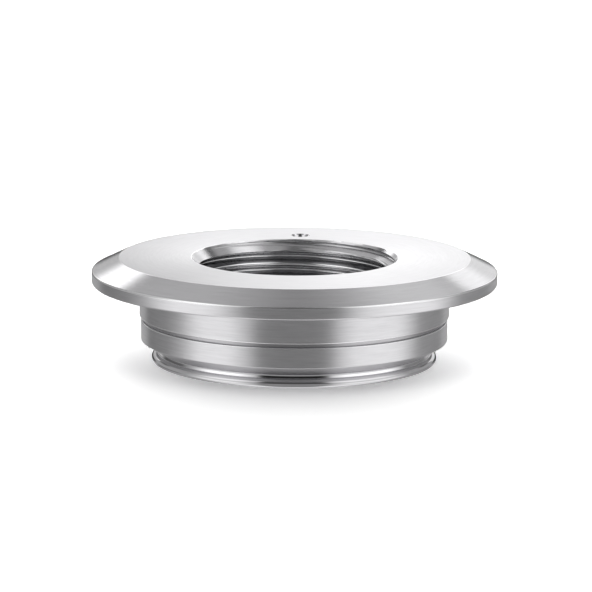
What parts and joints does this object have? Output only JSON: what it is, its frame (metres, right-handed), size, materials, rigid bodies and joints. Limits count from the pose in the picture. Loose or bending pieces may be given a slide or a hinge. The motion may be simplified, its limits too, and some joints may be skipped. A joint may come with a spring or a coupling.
{
  "type": "hygienic process adapter",
  "caption": "Turned steel process adapter: bevelled clamp flange over a short grooved spigot with a flared lip, female pipe thread and a small leak port.",
  "frame": {"origin": "centre of the wetted face, on the thread's axis", "axes": "+Z along the thread's axis, from the wetted face towards the sensor; the leak port lies close to +Y"},
  "size_m": [0.066, 0.066, 0.017],
  "materials": {
    "steel": "fine-turned stainless steel, polished at the wetted end"
  },
  "bodies": {
    "root": {"adapter_body": "steel"}
  },
  "joints": []
}
